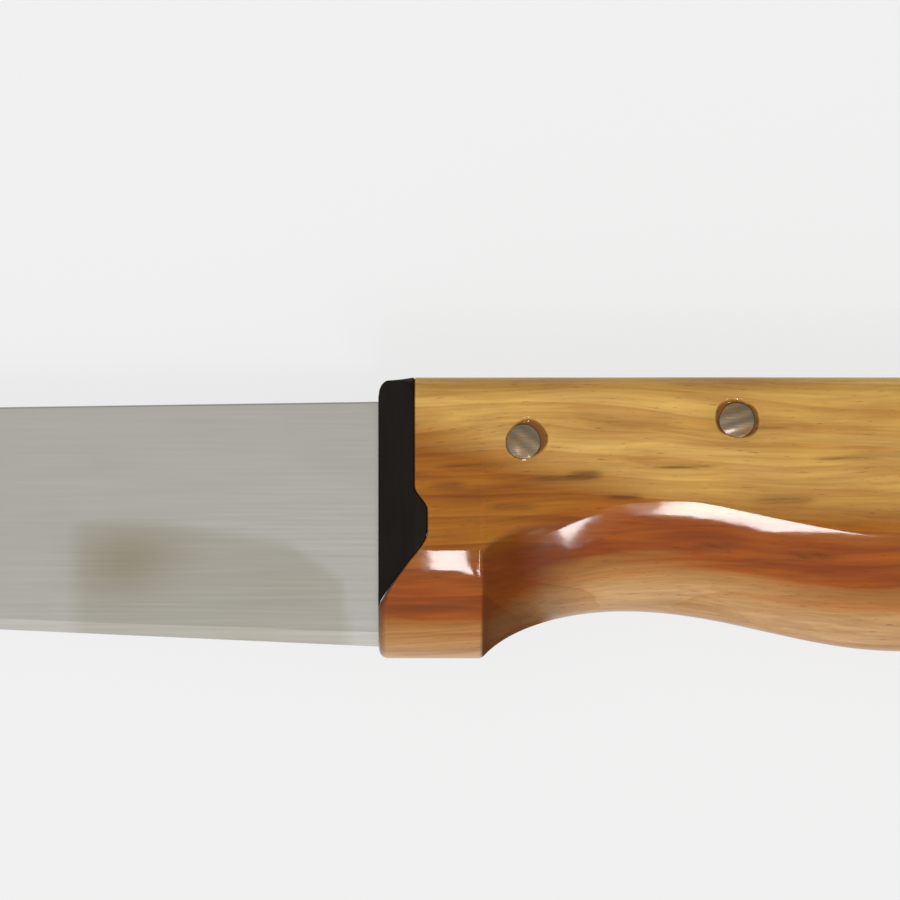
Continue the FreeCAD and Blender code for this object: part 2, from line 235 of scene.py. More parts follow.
# A darker, browner patch in the steel's colour above the edge, a thumb's breadth high: its upper
# limit sinks towards the heel.
patch_top = np.interp(blade_points[..., 0], [-31, -22, -9, -3.6, -3], [-14.4, -14.5, -16.6, -20.5, -25.5])
patch_share = smooth_step(-32, -29.5, blade_points[..., 0]) * smooth_step(-2.4, -3.8, blade_points[..., 0])
patch_share = 0.28 * patch_share * smooth_step(-0.5, 0.9, patch_top - blade_points[..., 1])
# Darker spots in it: (x, y, half length, half height) in mm, and how much each adds.
DARK_SPOTS = [(-26.2, -19.0, 4.6, 3.6, 0.42), (-22.5, -17.6, 5.5, 2.6, 0.2), (-9.0, -21.0, 5.0, 3.0, 0.12)]
for x, y, long, high, more in DARK_SPOTS:
    away = ((blade_points[..., 0] - x) / long) ** 2 + ((blade_points[..., 1] - y) / high) ** 2
    patch_share = patch_share + more * np.exp(-away)
blade = add_piece("blade_and_tang", blade_points, np.concatenate([
    ring_faces(rows, columns), ladder_faces(0, columns), ladder_faces((rows - 1) * columns, columns),
]), {"darker_patch": patch_share}, crisp=9)


def buffed_carbon_steel():
    """Carbon steel, belt ground lengthwise and buffed: an even soft grey, faintly lined, with a darker,
    browner patch above the edge.
    """
    material = bpy.data.materials.new("buffed_carbon_steel")
    material.use_nodes = True
    tree = material.node_tree
    shader = tree.nodes["Principled BSDF"]
    shader.inputs["Metallic"].default_value = 1
    place = add(tree, "ShaderNodeTexCoord", {}).outputs["Object"]
    # Belt lines are 0.1 to 0.3 mm apart and centimetres long.
    lined = add(tree, "ShaderNodeMapping", {"Vector": place, "Scale": (70, 4200, 400)}).outputs[0]
    lines = add(tree, "ShaderNodeTexNoise", {"Vector": lined, "Scale": 1, "Detail": 3}).outputs[0]
    # Handling stains are a centimetre or two across, with soft edges.
    spread = add(tree, "ShaderNodeMapping", {
        "Vector": place, "Scale": (60, 95, 60), "Location": (0.4, 0.2, 0)}).outputs[0]
    blotch = add(tree, "ShaderNodeTexNoise", {"Vector": spread, "Scale": 1, "Detail": 3}).outputs[0]
    stain = add(tree, "ShaderNodeMapRange", {0: blotch, 1: 0.5, 2: 0.7, 3: 0, 4: 0.35}).outputs[0]
    steel_patch = add(tree, "ShaderNodeAttribute", {}, attribute_name="darker_patch").outputs["Fac"]
    # The ground grey, then each layer over it: lighter belt lines, stains, the darker patch.
    steel = linear("#bbb9b1")
    for share, colour in ((lines, "#c2c0b8"), (stain, "#b4afa2"), (steel_patch, "#9c927b")):
        mixed = add(tree, "ShaderNodeMix", {0: share, 6: steel, 7: linear(colour)}, data_type="RGBA")
        steel = mixed.outputs[2]
    tree.links.new(steel, shader.inputs["Base Color"])
    rough = add(tree, "ShaderNodeMapRange", {0: lines, 1: 0.3, 2: 0.7, 3: 0.12, 4: 0.16}).outputs[0]
    tree.links.new(rough, shader.inputs["Roughness"])
    bump = add(tree, "ShaderNodeBump", {"Height": lines, "Strength": 0.03, "Distance": 0.00002}).outputs[0]
    tree.links.new(bump, shader.inputs["Normal"])
    return material


blade.data.materials.append(buffed_carbon_steel())
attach(blade, "root")
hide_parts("blade")

# ---------------------------------------------------------------------------------------------
# Bolster. A block of black cast resin between the blade's heel and the wood, slotted for the
# tang, glued on and filed flush with the wood. Its cheeks slope down towards the blade, and its
# lower end runs to a point over the guard.
# ---------------------------------------------------------------------------------------------

HANDLE_LENGTH = (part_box("handle")[1].x - heel_x) / MM
SIDE = (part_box("handle")[1].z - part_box("handle")[0].z) / MM / 2
GUARD_LENGTH = 10.4
GUARD_DEPTH = 28.4
UNDERSIDE_HEIGHT = 11.2
SPINE_RADIUS = 2.0
FRONT_RADIUS = 1.0
BOLSTER_LENGTH = 3.6
BOLSTER_DEPTH = 23.0
SWELL = 1.3
SWELL_TOP = 12.0
SWELL_BOTTOM = 16.1
CHEEK_DEPTH = 3.4
FILED_EDGE = 0.12           # the radius that filing leaves on the bolster's other edges
GROOVE_X, GROOVE_DEPTH = 24.8, 23.65
PALM_X, PALM_DEPTH = 53.0, 27.7
WAIST_X, WAIST_DEPTH = HANDLE_LENGTH - 30, 25.7
# Lengths over which spine, sides and beak round off into the butt, and the depth they close on.
SPINE_ROUNDING, SIDE_ROUNDING, BEAK_ROUNDING = 15.0, 9.0, 7.0
BEAK_X, BEAK_DEPTH = HANDLE_LENGTH - BEAK_ROUNDING, 29.0
BUTT_CENTRE = 13.0


def soft_min(a, b, width):
    """The lesser of a and b, with the corner between them rounded over about width."""
    share = np.clip(0.5 + (b - a) / (2 * width), 0, 1)
    return b + (a - b) * share - width * share * (1 - share)


def quarter_oval(share):
    """0 and level at share 0, and ever steeper towards share 1, as the end of an oval is."""
    return 1 - np.sqrt(1 - (0.93 * share) ** 2)


def underside_depth(x):
    """Depth of the lower outline: guard, oval finger groove, then half cosines to palm, waist and beak."""
    groove = np.clip((GROOVE_X - x) / (GROOVE_X - GUARD_LENGTH), 0, 1.05)
    depth = GROOVE_DEPTH + (GUARD_DEPTH - GROOVE_DEPTH) * quarter_oval(groove) / quarter_oval(1)
    depth = soft_min(depth, GUARD_DEPTH + 0 * x, 0.35)
    knots = [(GROOVE_X, GROOVE_DEPTH), (PALM_X, PALM_DEPTH), (WAIST_X, WAIST_DEPTH), (BEAK_X, BEAK_DEPTH)]
    for (start, low), (end, high) in zip(knots, knots[1:]):
        wave = low + (high - low) * (1 - np.cos(np.pi * np.clip((x - start) / (end - start), 0, 1))) / 2
        depth = np.where(x > start, wave, depth)
    return depth


def underside_height(x):
    """Height of the round underside above the outline: a bell less in the scoop, a step more past it."""
    return UNDERSIDE_HEIGHT - 1.22 * np.exp(-((x - 18.1) / 5.0) ** 2) + 0.63 * smooth_step(25, 33, x)


def crease(x):
    """How far in mm the underside's oval bulges past the flat side, by S-curves: more is crisper."""
    scoop = 0.08 - 0.05 * smooth_step(9.5, 13, x) + 0.23 * smooth_step(18, 27, x)
    return scoop + 0.39 * smooth_step(38, 47, x) - 0.5 * smooth_step(54, 74, x)


def sanded_away(x, y):
    """What sanding took off, in mm: a flat and a crown over the guard, its worn rear edge, and a hollow.

    The flat and the hollow in the scoop are bell curves, the crown a parabola under a bell along y,
    and the worn edge a parabola."""
    flat = 0.026 * np.exp(-((x - 6.8) / 4) ** 2 - ((y + 18.4) / 1.7) ** 2)
    crown = 0.0066 * (x - 6.0) ** 2 * np.exp(-((y + 18.1) / 2.2) ** 2)
    worn = 0.045 * np.clip(x - 9.3, 0, 1.1) ** 2
    hollow = 0.1 * np.exp(-((x - 19.1) / 2.9) ** 2 - ((y + 16.4 - 0.45 * (x - 19.1)) / 1.5) ** 2)
    return smooth_step(10.6, 10.2, x) * (flat + crown + worn) + hollow


def joint_x(y):
    """Where the wood begins at height y: upright, an S-curve out to the swell, then a slant to the point."""
    upright = BOLSTER_LENGTH + SWELL * smooth_step(-SWELL_TOP + 1.1, -SWELL_TOP - 1.3, y)
    rise = np.clip((y + BOLSTER_DEPTH) / (BOLSTER_DEPTH - SWELL_BOTTOM), 0, 2)
    slant = (BOLSTER_LENGTH + SWELL) * rise ** 1.12
    return np.clip(soft_min(upright, slant, 0.6), 0, None)


def handle_section(x, down):
    """Half outlines across the handle, one row per x, from the spine's middle to the underside's.

    down runs 0 to 1 along the spine, 1 to 2 round its corner, 2 to 3 down the flat side and 3 to 4
    round the oval underside. Towards the butt the outline shrinks about a centre by quarter ovals."""
    spine_round = quarter_oval(np.clip((x - HANDLE_LENGTH + SPINE_ROUNDING) / SPINE_ROUNDING, 0, 1))
    beak_round = quarter_oval(np.clip((x - BEAK_X) / BEAK_ROUNDING, 0, 1))
    side = SIDE * (1 - quarter_oval(np.clip((x - HANDLE_LENGTH + SIDE_ROUNDING) / SIDE_ROUNDING, 0, 1)))
    top = -BUTT_CENTRE * spine_round
    depth = underside_depth(x)
    bottom = -depth + (depth - BUTT_CENTRE) * beak_round
    corner = SPINE_RADIUS * (1 - spine_round)
    reach = np.arcsin(1 / (1 + crease(x) / SIDE))
    oval_side = side * (1 + crease(x) / SIDE)
    oval_height = underside_height(x) * (1 - beak_round) / (1 - np.cos(reach))
    centre = bottom + oval_height
    edge = centre - oval_height * np.cos(reach)
    turn = np.clip(down - 1, 0, 1) * np.pi / 2
    oval = reach * (1 - np.clip(down - 3, 0, 1))
    stretch = [down <= 1, down <= 2, down <= 3]
    flat_y = top - corner + (edge - top + corner) * (down - 2)
    y = np.select(stretch, [top + 0 * down, top - corner * (1 - np.cos(turn)), flat_y],
                  centre - oval_height * np.cos(oval))
    z = np.select(stretch, [(side - corner) * down, side - corner * (1 - np.sin(turn)), side + 0 * down],
                  oval_side * np.sin(oval))
    return np.stack([x + 0 * y, y, z], axis=-1)


def inset(points, amount):
    """Half outlines moved inwards, square to themselves, by amount."""
    along = np.gradient(points[..., 1:], axis=1)
    length = np.maximum(np.linalg.norm(along, axis=-1), 1e-9)
    moved = points.copy()
    moved[..., 1] -= amount * along[..., 1] / length
    moved[..., 2] += amount * along[..., 0] / length
    moved[..., 2] = np.maximum(moved[..., 2], 0)
    moved[:, [0, -1], 2] = 0
    return moved


def edge_rounding(distance, radius):
    """How far a rounded edge has fallen at a distance from the end face: a quarter circle of that radius."""
    inside = np.clip(radius - distance, 0, radius)
    return radius - np.sqrt(radius ** 2 - inside ** 2)


bolster_down = steps((0, 1, 0.06), (1, 2, 0.09), (2, 3, 0.02), (3, 3.42, 0.02))[None, :]
front_section = handle_section(np.zeros((1, 1)), bolster_down)
below = np.argmax(front_section[0, :, 1] < -BOLSTER_DEPTH)
bolster_down = bolster_down[:, :below]
# How far back each row stands, from the front face at 0 to the joint at 1: closest at both ends.
back = np.concatenate([
    np.linspace(0, 0.3, 13), np.linspace(0.3, 0.94, 14)[1:], np.linspace(0.94, 1, 5)[1:],
])[:, None]
plain = handle_section(0 * back, bolster_down)
plain[:, -1, 1] = -BOLSTER_DEPTH
bolster_end = joint_x(plain[..., 1])
bolster_x = back * bolster_end
fall = edge_rounding(bolster_x, FRONT_RADIUS) + edge_rounding(bolster_end - bolster_x, FILED_EDGE)
bolster_half = inset(plain, fall)
# Its last column carries the line of the two before it on to the point's own height.
before = bolster_half[:, -3:-1]
lean = (before[:, 1, 2] - before[:, 0, 2]) / (before[:, 1, 1] - before[:, 0, 1])
bolster_half[:, -1, 2] = before[:, 1, 2] - lean * (before[:, 1, 1] + BOLSTER_DEPTH)
bolster_half[:, -1, 1] = -BOLSTER_DEPTH
# The front corner of the spine is worn lower than the other front edges.
spine_facing = np.cos(np.clip(bolster_down - 1, 0, 1) * np.pi / 2)
spine_wear = 0.7 * edge_rounding(bolster_x, FRONT_RADIUS) + 0.35 * (1 - back ** 2)
bolster_half[..., 1] -= spine_wear * spine_facing
bolster_half[..., 0] = bolster_x
bolster_half[..., 2] -= (bolster_down > 2) * sanded_away(bolster_x, bolster_half[..., 1])
cheek = SIDE - CHEEK_DEPTH * np.clip(1 - bolster_x / BOLSTER_LENGTH, 0, 1)
bolster_half[..., 2] = soft_min(bolster_half[..., 2], cheek, FILED_EDGE)
bolster_half[:, 0, 2] = 0
other = bolster_half[:, :0:-1].copy()
other[..., 2] *= -1
bolster_points = np.concatenate([other, bolster_half], axis=1)
rows, columns = bolster_points.shape[:2]
row, column = np.meshgrid(np.arange(rows - 1), np.arange(columns - 1), indexing="ij")
skin = np.stack([
    row * columns + column, row * columns + column + 1,
    (row + 1) * columns + column + 1, (row + 1) * columns + column,
], axis=-1).reshape(-1, 4)
near = np.arange(columns // 2)
rungs = np.stack([near, near + 1, columns - 2 - near, columns - 1 - near], axis=-1)
bolster = add_piece("bolster_block", bolster_points, np.concatenate([
    skin, rungs, rungs + (rows - 1) * columns,
]))


def filed_black_resin():
    """Black polyester resin, cast, filed flush and oiled: nearly black, with a dull, scratched sheen."""
    material = bpy.data.materials.new("filed_black_resin")
    material.use_nodes = True
    tree = material.node_tree
    shader = tree.nodes["Principled BSDF"]
    shader.inputs["IOR"].default_value = 1.5
    shader.inputs["Specular IOR Level"].default_value = 0.09
    place = add(tree, "ShaderNodeTexCoord", {}).outputs["Object"]
    # File marks run up and down the block, 0.15 to 0.4 mm apart.
    filed = add(tree, "ShaderNodeMapping", {"Vector": place, "Scale": (3500, 260, 1200)}).outputs[0]
    marks = add(tree, "ShaderNodeTexNoise", {"Vector": filed, "Scale": 1, "Detail": 4}).outputs[0]
    cloud = add(tree, "ShaderNodeTexNoise", {"Vector": place, "Scale": 190, "Detail": 2}).outputs[0]
    colour = add(tree, "ShaderNodeMix", {0: cloud, 6: linear("#0f0b08"), 7: linear("#1d160f")},
                 data_type="RGBA")
    tree.links.new(colour.outputs[2], shader.inputs["Base Color"])
    rough = add(tree, "ShaderNodeMapRange", {0: marks, 1: 0.3, 2: 0.7, 3: 0.38, 4: 0.6}).outputs[0]
    tree.links.new(rough, shader.inputs["Roughness"])
    bump = add(tree, "ShaderNodeBump", {"Height": marks, "Strength": 0.25, "Distance": 0.00004}).outputs[0]
    tree.links.new(bump, shader.inputs["Normal"])
    return material


bolster.data.materials.append(filed_black_resin())
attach(bolster, "root")
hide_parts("bolster")

# ---------------------------------------------------------------------------------------------
# Handle. One piece of acacia, shaped on a belt and by hand: flat sides, a round underside with
# a guard, a finger groove and a palm swell, and a saw kerf in the spine for the tang. Thick
# brushed varnish rounds its edges. The torn recesses round the pins are coloured darker; the
# colour also carries painted shade behind the guard and along the underside, and a painted
# reflection of the pale table at the underside's bottom.
# ---------------------------------------------------------------------------------------------

HEAD_RADIUS = (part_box("front_pin")[1].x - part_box("front_pin")[0].x) / MM / 2
PIN_PLACES = [
    ((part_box(name)[0].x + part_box(name)[1].x) / 2 / MM - heel_x / MM,
     (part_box(name)[0].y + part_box(name)[1].y) / 2 / MM - spine_y / MM)
    for name in ("front_pin", "rear_pin")
]
# each tear beside a pin: how far its circle lies from the pin's centre, which way, and its radius
TEARS = [[(0.62, math.radians(38), 1.95)], [(0.42, math.radians(135), 1.88), (0.36, math.radians(5), 1.86)]]
TEAR_DEPTH = 0.34
RECESS_DEPTH = 0.5
VARNISH_DIP = 0.04
GLUE_GAP = 0.02
KERF_HALF = (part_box("kerf_filler")[1].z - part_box("kerf_filler")[0].z) / MM / 2 + GLUE_GAP
KERF_END = (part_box("kerf_filler")[1].x - heel_x) / MM + GLUE_GAP
KERF_DEPTH = 0.6            # as deep as the kerf is drawn; the filler goes deeper
FRONT_BLEND = 6.0           # the wood's rows follow the bolster's joint up to here, then stand upright
BUTT_CAP = 0.8              # the last length of the butt, which closes to a point


def recess(x, y):
    """Depth in mm of each head's hole, the varnish's dip round it and the tear beside it; and the tear."""
    depth = np.zeros_like(y)
    torn = np.zeros_like(y)
    for (pin_x, pin_y), tears in zip(PIN_PLACES, TEARS):
        out = np.hypot(x - pin_x, y - pin_y)
        hole = RECESS_DEPTH * (1 - smooth_step(HEAD_RADIUS - 0.3, HEAD_RADIUS - 0.12, out))
        dip = VARNISH_DIP * np.exp(-((out - HEAD_RADIUS - 0.1) / 0.16) ** 2)
        depth = np.maximum(depth, np.maximum(hole, dip))
        for shift, toward, radius in tears:
            east = x - pin_x - shift * math.cos(toward)
            north = y - pin_y - shift * math.sin(toward)
            ragged = radius + 0.06 * np.sin(4 * np.arctan2(north, east) + pin_x)
            torn = np.maximum(torn, 1 - smooth_step(ragged - 0.25, ragged + 0.05, np.hypot(east, north)))
    return np.maximum(depth, TEAR_DEPTH * torn), torn


def hand_wave(x, y):
    """Shallow waves left by shaping and brushing, 0 to 1: sums of sines with wavelengths of 5 to 30 mm."""
    wave = (np.sin(x / 7.4 + 1.3 * np.sin(y / 5.9)) + np.sin(x / 3.1 + y / 2.6) * 0.35
            + np.sin(y / 3.3 + 0.8 * np.sin(x / 8.1)) * 0.6)
    return (wave + 1.95) / 3.9


PIN_ROWS = [(x - 2.6, x + 2.6) for x, _ in PIN_PLACES]
handle_x = steps(
    (0, 1.2, 0.1), (1.2, FRONT_BLEND, 0.3), (FRONT_BLEND, 9.6, 0.4), (9.6, PIN_ROWS[0][0], 0.15),
    (PIN_ROWS[0][0], PIN_ROWS[0][1], 0.13), (PIN_ROWS[0][1], PIN_ROWS[1][0], 0.5),
    (PIN_ROWS[1][0], PIN_ROWS[1][1], 0.13), (PIN_ROWS[1][1], KERF_END - 0.4, 0.5),
    (KERF_END - 0.4, KERF_END + 0.4, 0.08), (KERF_END + 0.4, 100, 0.7), (100, HANDLE_LENGTH - BUTT_CAP, 0.3),
)[:, None]
kerf_share = KERF_HALF / (SIDE - SPINE_RADIUS)
pin_share = 0.5
handle_down = steps(
    (0, kerf_share - 0.02, 0.05), (kerf_share - 0.02, kerf_share + 0.02, 0.006),
    (kerf_share + 0.02, 1, 0.08),
    (1, 2, 0.12), (2, 2 + pin_share, 0.0105), (2 + pin_share, 2.97, 0.022), (2.97, 3, 0.01),
    (3, 3.12, 0.01), (3.12, 4, 0.025),
)[None, :]

front_y = handle_section(0 * handle_x, handle_down)[..., 1]
front = joint_x(front_y)
wood_x = np.where(handle_x < FRONT_BLEND, front + handle_x * (1 - front / FRONT_BLEND), handle_x + 0 * front)
wood = handle_section(wood_x, handle_down)
rim_radius = 0.22 + (FRONT_RADIUS - 0.22) * smooth_step(1.2, 0, front)
wave_depth = 0.03 * hand_wave(wood[..., 0], wood[..., 1])
wood = inset(wood, edge_rounding(wood_x - front, rim_radius) + wave_depth)
# The joint's line is taken again at each point's new height, a hair of glue behind the bolster.
front = joint_x(wood[..., 1]) + GLUE_GAP * smooth_step(-BOLSTER_DEPTH, -BOLSTER_DEPTH + 0.3, wood[..., 1])
wood_x = np.where(handle_x < FRONT_BLEND, front + handle_x * (1 - front / FRONT_BLEND), handle_x + 0 * front)
wood[..., 0] = wood_x
on_side = (handle_down > 2) & (handle_down < 3)
wood[..., 2] = np.maximum(wood[..., 2] - (handle_down > 2) * sanded_away(wood_x, wood[..., 1]), 0)
sunk, torn = recess(wood_x, wood[..., 1])
wood[..., 2] -= on_side * sunk
torn = on_side * torn
in_kerf = (handle_down < 1) * (1 - smooth_step(KERF_HALF - 0.04, KERF_HALF + 0.04, wood[..., 2]))
in_kerf = in_kerf * (1 - smooth_step(KERF_END - 0.05, KERF_END + 0.05, wood_x))
wood[..., 1] -= KERF_DEPTH * in_kerf

cap = np.linspace(0, 1, 12)[1:, None, None]
butt = wood[-1:] * (1 - cap) + np.array([0, -BUTT_CENTRE, 0]) * cap
butt[..., 0] = HANDLE_LENGTH - BUTT_CAP * (1 - cap[..., 0]) ** 2
wood = np.concatenate([wood, butt])
torn = np.concatenate([torn, np.zeros(butt.shape[:2])])

# Heartwood lies in a band: its upper limit sinks from the bolster to the middle of the palm, and
# its lower limit keeps above the underside. Its depth is in mm from the nearer limit.
upper = np.interp(wood[..., 0], [0, 5, 12, 22, 29, 60, 110], [-4.2, -5.0, -7.6, -10.2, -12.3, -13.2, -11.0])
belly = -underside_depth(wood[..., 0])
lower = belly + np.interp(wood[..., 0], [0, 12, 20, 32, 45, 110], [2.6, 2.6, 4.0, 4.6, 4.6, 6.0])
heartwood = np.minimum(upper - wood[..., 1], wood[..., 1] - lower)
# Below the heartwood's lower limit the colour turns tan, partly sapwood and partly a painted reflection of
# the pale table; just above that limit it turns a deeper red, partly heartwood and partly painted shade.
tan_and_table_reflection = smooth_step(2.5, -2.5, wood[..., 1] - lower)
red_heart_and_shade = smooth_step(8.5, 5.0, wood[..., 1] - lower)
# Behind the guard, in the scoop, the colour carries painted shade, a little deeper towards the
# bottom; the same mask takes the varnish's shine away there.
side_end = belly + underside_height(wood[..., 0])
shade_and_dull_coat = smooth_step(10.25, 10.5, wood[..., 0]) * smooth_step(24.0, 13.0, wood[..., 0])
shade_and_dull_coat = shade_and_dull_coat * smooth_step(-0.4, 0.5, side_end - wood[..., 1])
shade_and_dull_coat = shade_and_dull_coat * (0.8 + 0.2 * smooth_step(-20.5, -24.5, wood[..., 1]))
# Dark streaks, (x, y, half length, half height) in mm: mineral streaks in the wood, except the one at
# (5.6, -23.1), which is a painted dark line of reflection along the guard's underside.
STREAK_PLACES = [
    (9.7, -8.8, 3.6, 0.3), (18.6, -10.1, 3.4, 0.32), (7.0, -10.8, 1.6, 0.3), (20.8, -9.7, 1.5, 0.34),
    (33.8, -16.9, 2.4, 0.34), (43.4, -17.9, 2.4, 0.26), (24.5, -12.0, 1.8, 0.34), (38.5, -5.1, 2.6, 0.14),
    (5.6, -23.1, 4.2, 0.3), (13.5, -13.0, 2.2, 0.34), (30.5, -9.0, 3.0, 0.16), (47.0, -8.1, 3.2, 0.18),
    (40.5, -12.3, 3.0, 0.4), (62.0, -9.5, 5.0, 0.3), (71.0, -16.0, 3.5, 0.4), (88.0, -7.0, 4.5, 0.25),
    (95.0, -19.0, 3.0, 0.45),
]
dark_streaks = sum(
    np.exp(-((wood[..., 0] - x) / long) ** 4 - ((wood[..., 1] - y - 0.03 * (wood[..., 0] - x)) / high) ** 2)
    for x, y, long, high in STREAK_PLACES)
# End grain: how much of each face looks along the handle, from the surface's own slope.
across = np.cross(np.gradient(wood, axis=0), np.gradient(wood, axis=1))
end_grain = np.abs(across[..., 0]) / np.maximum(np.linalg.norm(across, axis=-1), 1e-12)
end_grain[-1] = end_grain[-2]

handle_points = mirrored(wood)
rows, columns = handle_points.shape[:2]
handle = add_piece(
    "handle_wood", handle_points,
    np.concatenate([ring_faces(rows, columns), ladder_faces(0, columns)]),
    {label: np.concatenate([values, values[:, -2:0:-1]], axis=1) for label, values in {
        "torn": torn, "heartwood": heartwood, "tan_and_table_reflection": tan_and_table_reflection, "red_heart_and_shade": red_heart_and_shade,
        "dark_streaks": np.clip(dark_streaks, 0, 1), "end_grain": end_grain, "shade_and_dull_coat": shade_and_dull_coat,
    }.items()},
)


def varnished_acacia():
    """Acacia under brushed varnish: gold sapwood, red-brown heartwood, dark where the end grain is; the
    colour also carries painted shade behind the guard and along the underside, and a painted reflection of
    the pale table at the underside's bottom.
    """
    material = bpy.data.materials.new("varnished_acacia")
    material.use_nodes = True
    tree = material.node_tree
    shader = tree.nodes["Principled BSDF"]
    shader.inputs["Specular IOR Level"].default_value = 0
    shader.inputs["Coat Roughness"].default_value = 0.07
    shader.inputs["Coat IOR"].default_value = 1.42
    place = add(tree, "ShaderNodeTexCoord", {}).outputs["Object"]
    drawn = {
        label: add(tree, "ShaderNodeAttribute", {}, attribute_name=label).outputs["Fac"]
        for label in ("torn", "heartwood", "tan_and_table_reflection", "red_heart_and_shade", "dark_streaks", "end_grain", "shade_and_dull_coat")
    }

    # Slow wander of the grain: a millimetre or so over a few centimetres.
    slow = add(tree, "ShaderNodeMapping", {"Vector": place, "Scale": (28, 110, 110)}).outputs[0]
    wander = add(tree, "ShaderNodeTexNoise", {"Vector": slow, "Scale": 1, "Detail": 2}).outputs[1]
    shift = add(tree, "ShaderNodeVectorMath", {0: wander, 1: (0, 0.0045, 0.0045)}, operation="MULTIPLY")
    grain = add(tree, "ShaderNodeVectorMath", {0: place, 1: shift.outputs[0]}, operation="ADD").outputs[0]
    # Growth rings, about 2.2 mm apart, round a pith that runs 30 mm off to one side.
    pith = add(tree, "ShaderNodeMapping", {
        "Vector": grain, "Location": (0, 0.026, -0.03), "Rotation": (0, 0.02, 0.035)}).outputs[0]
    rings = add(tree, "ShaderNodeTexWave", {
        "Vector": pith, "Scale": 145, "Distortion": 1.2, "Detail": 2, "Detail Scale": 0.6,
    }, wave_type="RINGS", rings_direction="X", wave_profile="SAW").outputs[1]
    # Streaks 1 to 2 mm wide and 20 mm long, patches of 3 to 6 mm, fibres of 0.2 by 10 mm, pores of
    # 0.1 by 1.5 mm, and the brush's ripples in the varnish, 1 to 3 mm apart.
    noises = {}
    for label, where, scale, detail in (
            ("streaks", grain, (55, 560, 560), 4), ("patches", grain, (110, 260, 260), 3),
            ("fibres", grain, (95, 3000, 3000), 5), ("pores", grain, (620, 6500, 6500), 2),
            ("ripples", place, (230, 480, 480), 2)):
        stretched = add(tree, "ShaderNodeMapping", {"Vector": where, "Scale": scale}).outputs[0]
        noise = add(tree, "ShaderNodeTexNoise", {"Vector": stretched, "Scale": 1, "Detail": detail})
        noises[label] = noise.outputs[0]
    # Each pattern's share of the look: a value between low and high becomes one from start to end.
    shares = {}
    for label, value, low, high, start, end in (
            ("ringed", rings, 0.45, 1, 0, 0.4), ("streaks", noises["streaks"], 0.32, 0.68, 0, 1),
            ("patches", noises["patches"], 0.38, 0.66, 0, 1), ("pores", noises["pores"], 0.64, 0.76, 0, 0.5),
            ("fine", noises["fibres"], 0.3, 0.7, 0.86, 1.12),
            ("broken", noises["fibres"], 0.35, 0.6, 0.25, 0.85),
            ("rough", noises["fibres"], 0.3, 0.7, 0.42, 0.6),
            ("end_grain", drawn["end_grain"], 0.2, 0.8, 0, 0.7),
            ("shade_and_dull_coat", drawn["shade_and_dull_coat"], 0, 1, 0, 0.78), ("varnish", drawn["shade_and_dull_coat"], 0.61, 0.79, 0.7, 0)):
        ranged = add(tree, "ShaderNodeMapRange", {0: value, 1: low, 2: high, 3: start, 4: end})
        shares[label] = ranged.outputs[0]

    # Each wood is streaked from a dark to a light of its own.
    streaked = {}
    for label, dark, light in (
            ("gold", "#b2803b", "#daab5f"), ("patch", "#c49243", "#ddb15b"), ("tan", "#a87b4d", "#cda270"),
            ("brown", "#8e4d0b", "#b37018"), ("red", "#803404", "#a5550b")):
        mixed = add(tree, "ShaderNodeMix", {0: shares["streaks"], 6: linear(dark), 7: linear(light)},
                    data_type="RGBA")
        streaked[label] = mixed.outputs[2]
    # The tan over the sapwood is partly a painted reflection of the pale table, and the deep red over the
    # heartwood partly painted shade.
    sapwood = [(shares["patches"], streaked["patch"]), (drawn["tan_and_table_reflection"], streaked["tan"]),
               (shares["ringed"], linear("#ad722d"))]
    heartwood = [(drawn["red_heart_and_shade"], streaked["red"]), (shares["ringed"], linear("#763202"))]
    woods = []
    for wood, layers in ((streaked["gold"], sapwood), (streaked["brown"], heartwood)):
        for share, colour in layers:
            wood = add(tree, "ShaderNodeMix", {0: share, 6: wood, 7: colour}, data_type="RGBA").outputs[2]
        woods.append(wood)
    # The heartwood's edge runs out along the streaks.
    edge = add(tree, "ShaderNodeMath", {0: shares["streaks"], 1: 2.2, 2: drawn["heartwood"]},
               operation="MULTIPLY_ADD").outputs[0]
    heart = add(tree, "ShaderNodeMapRange", {0: edge, 1: -0.4, 2: 3.0, 3: 0, 4: 1}).outputs[0]
    timber = add(tree, "ShaderNodeMix", {0: heart, 6: woods[0], 7: woods[1]}, data_type="RGBA").outputs[2]
    timber = add(tree, "ShaderNodeVectorMath", {0: timber, "Scale": shares["fine"]},
                 operation="SCALE").outputs[0]
    streak_marks = add(tree, "ShaderNodeMath", {0: drawn["dark_streaks"], 1: shares["broken"]}, operation="MULTIPLY")
    # Over the timber: pores, dark streaks, end grain, painted shade in the scoop behind the guard, and a
    # darker colour in the torn recesses.
    for share, colour in (
            (shares["pores"], "#532c0c"), (streak_marks.outputs[0], "#5c3009"), (shares["end_grain"], "#4c2206"),
            (shares["shade_and_dull_coat"], "#542f1d"), (drawn["torn"], "#7d4c14")):
        timber = add(tree, "ShaderNodeMix", {0: share, 6: timber, 7: linear(colour)},
                     data_type="RGBA").outputs[2]
    tree.links.new(timber, shader.inputs["Base Color"])
    # Behind the guard, where the colour carries painted shade, no skin of varnish is left to shine.
    tree.links.new(shares["varnish"], shader.inputs["Coat Weight"])
    tree.links.new(shares["rough"], shader.inputs["Roughness"])
    bump = add(tree, "ShaderNodeBump", {"Height": noises["fibres"], "Strength": 0.3, "Distance": 0.00005})
    tree.links.new(bump.outputs[0], shader.inputs["Normal"])
    skin = add(tree, "ShaderNodeBump", {"Height": noises["ripples"], "Strength": 0.16, "Distance": 0.00008})
    tree.links.new(skin.outputs[0], shader.inputs["Coat Normal"])
    return material


handle.data.materials.append(varnished_acacia())
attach(handle, "root")
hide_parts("handle")

